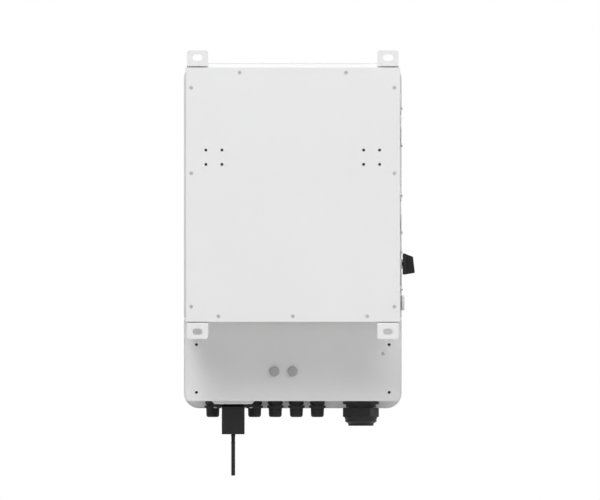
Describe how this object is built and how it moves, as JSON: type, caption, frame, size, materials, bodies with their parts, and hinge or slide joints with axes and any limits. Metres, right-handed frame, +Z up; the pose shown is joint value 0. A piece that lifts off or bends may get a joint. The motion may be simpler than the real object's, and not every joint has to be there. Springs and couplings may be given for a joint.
{
  "type": "string inverter",
  "caption": "Wall-mounted string inverter with a finned rear cooling duct, slotted mounting ears, cable glands, a rotary isolator and a plug-in data logger.",
  "frame": {"origin": "centre of the four ear slots, on the wall plane", "axes": "+Z up, +Y towards the wall, the front faces -Y"},
  "size_m": [0.4452, 0.2371, 0.8194],
  "materials": {
    "white_case": "fine textured powder coat",
    "zinc_sheet": "zinc plated sheet",
    "plated_screw": "zinc plated",
    "plated_wire": "plated wire",
    "sink_aluminium": "as extruded",
    "black_plastic": "fine moulded grain",
    "gland_black": "moulded nylon",
    "grey_plastic": "moulded grain",
    "light_plastic": "moulded grain",
    "yellow_collar": "moulded",
    "key_grey": "satin",
    "terminal_green": "moulded",
    "panel_gloss": "polished",
    "display_glass": "polished",
    "lamp_green": "clear tinted",
    "circuit_board": "solder mask",
    "can_sleeve": "shrink sleeve",
    "copper_winding": "enamelled copper",
    "ferrite_core": "sintered ferrite",
    "seal_rubber": "moulded rubber",
    "button_metal": "satin"
  },
  "bodies": {
    "case": {"battery_terminals": "black_plastic", "board_posts": "plated_screw", "bus_capacitors": "can_sleeve", "button_body": "light_plastic", "button_seal": "seal_rubber", "control_board": "circuit_board", "display_module": "display_glass", "display_window": "panel_gloss", "divider_plate": "zinc_sheet", "duct_cover": "white_case", "duct_cover_screws": "plated_screw", "duct_frame": "white_case", "earth_screw": "plated_screw", "fan_frame_lower": "black_plastic", "fan_frame_middle": "black_plastic", "fan_frame_upper": "black_plastic", "fan_guards": "plated_wire", "fan_screws": "plated_screw", "filter_chokes": "copper_winding", "front_cover": "white_case", "front_cover_gasket": "seal_rubber", "front_cover_screws": "plated_screw", "heat_sink": "sink_aluminium", "isolator_block": "grey_plastic", "isolator_collar": "yellow_collar", "isolator_plate": "light_plastic", "key_switches": "black_plastic", "lamp_lenses": "lamp_green", "large_gland_body": "gland_black", "large_gland_locknut": "gland_black", "large_gland_nut": "gland_black", "large_gland_seal": "seal_rubber", "logger_case": "black_plastic", "logger_port": "light_plastic", "logger_screws": "plated_screw", "main_housing": "white_case", "power_board": "circuit_board", "power_modules": "black_plastic", "relays": "black_plastic", "small_gland_bodies": "gland_black", "small_gland_locknuts": "gland_black", "small_gland_nuts": "gland_black", "small_gland_seals": "seal_rubber", "terminal_blocks": "terminal_green", "transformer": "ferrite_core", "vent_plugs": "grey_plastic", "wiring_cover": "white_case", "wiring_cover_gasket": "seal_rubber", "wiring_cover_screws": "plated_screw"},
    "isolator_knob": {"isolator_knob": "black_plastic"},
    "button_cap": {"button_cap": "button_metal"},
    "key_escape": {"key_escape": "key_grey"},
    "key_up": {"key_up": "key_grey"},
    "key_down": {"key_down": "key_grey"},
    "key_enter": {"key_enter": "key_grey"},
    "fan_rotor_upper": {"fan_rotor_upper": "black_plastic"},
    "fan_rotor_middle": {"fan_rotor_middle": "black_plastic"},
    "fan_rotor_lower": {"fan_rotor_lower": "black_plastic"},
    "antenna_fork": {"antenna_fork": "black_plastic"},
    "antenna_rod": {"antenna_rod": "black_plastic"}
  },
  "joints": [
    {"name": "isolator_turn", "type": "hinge", "parent": "case", "child": "isolator_knob", "pos_m": [-0.2124, -0.15, -0.1337], "axis": [1, 0, 0], "range_deg": [0, 90]},
    {"name": "power_button_press", "type": "slide", "parent": "case", "child": "button_cap", "axis": [1, 0, 0], "range_m": [0, 0.0025], "stiffness_N_per_m": 800},
    {"name": "key_escape_press", "type": "slide", "parent": "case", "child": "key_escape", "axis": [0, 1, 0], "range_m": [0, 0.0012], "stiffness_N_per_m": 900},
    {"name": "key_up_press", "type": "slide", "parent": "case", "child": "key_up", "axis": [0, 1, 0], "range_m": [0, 0.0012], "stiffness_N_per_m": 900},
    {"name": "key_down_press", "type": "slide", "parent": "case", "child": "key_down", "axis": [0, 1, 0], "range_m": [0, 0.0012], "stiffness_N_per_m": 900},
    {"name": "key_enter_press", "type": "slide", "parent": "case", "child": "key_enter", "axis": [0, 1, 0], "range_m": [0, 0.0012], "stiffness_N_per_m": 900},
    {"name": "fan_upper_spin", "type": "hinge", "parent": "case", "child": "fan_rotor_upper", "pos_m": [-0.195, -0.051, 0.131], "axis": [1, 0, 0], "continuous": true},
    {"name": "fan_middle_spin", "type": "hinge", "parent": "case", "child": "fan_rotor_middle", "pos_m": [-0.195, -0.051, -0.037], "axis": [1, 0, 0], "continuous": true},
    {"name": "fan_lower_spin", "type": "hinge", "parent": "case", "child": "fan_rotor_lower", "pos_m": [-0.195, -0.051, -0.146], "axis": [1, 0, 0], "continuous": true},
    {"name": "antenna_swivel", "type": "hinge", "parent": "case", "child": "antenna_fork", "pos_m": [0.1148, -0.112, -0.462], "axis": [0, 0, 1], "range_deg": [-180, 180]},
    {"name": "antenna_tilt", "type": "hinge", "parent": "antenna_fork", "child": "antenna_rod", "pos_m": [0.1148, -0.112, -0.47], "axis": [0, -1, 0], "range_deg": [0, 90]}
  ]
}
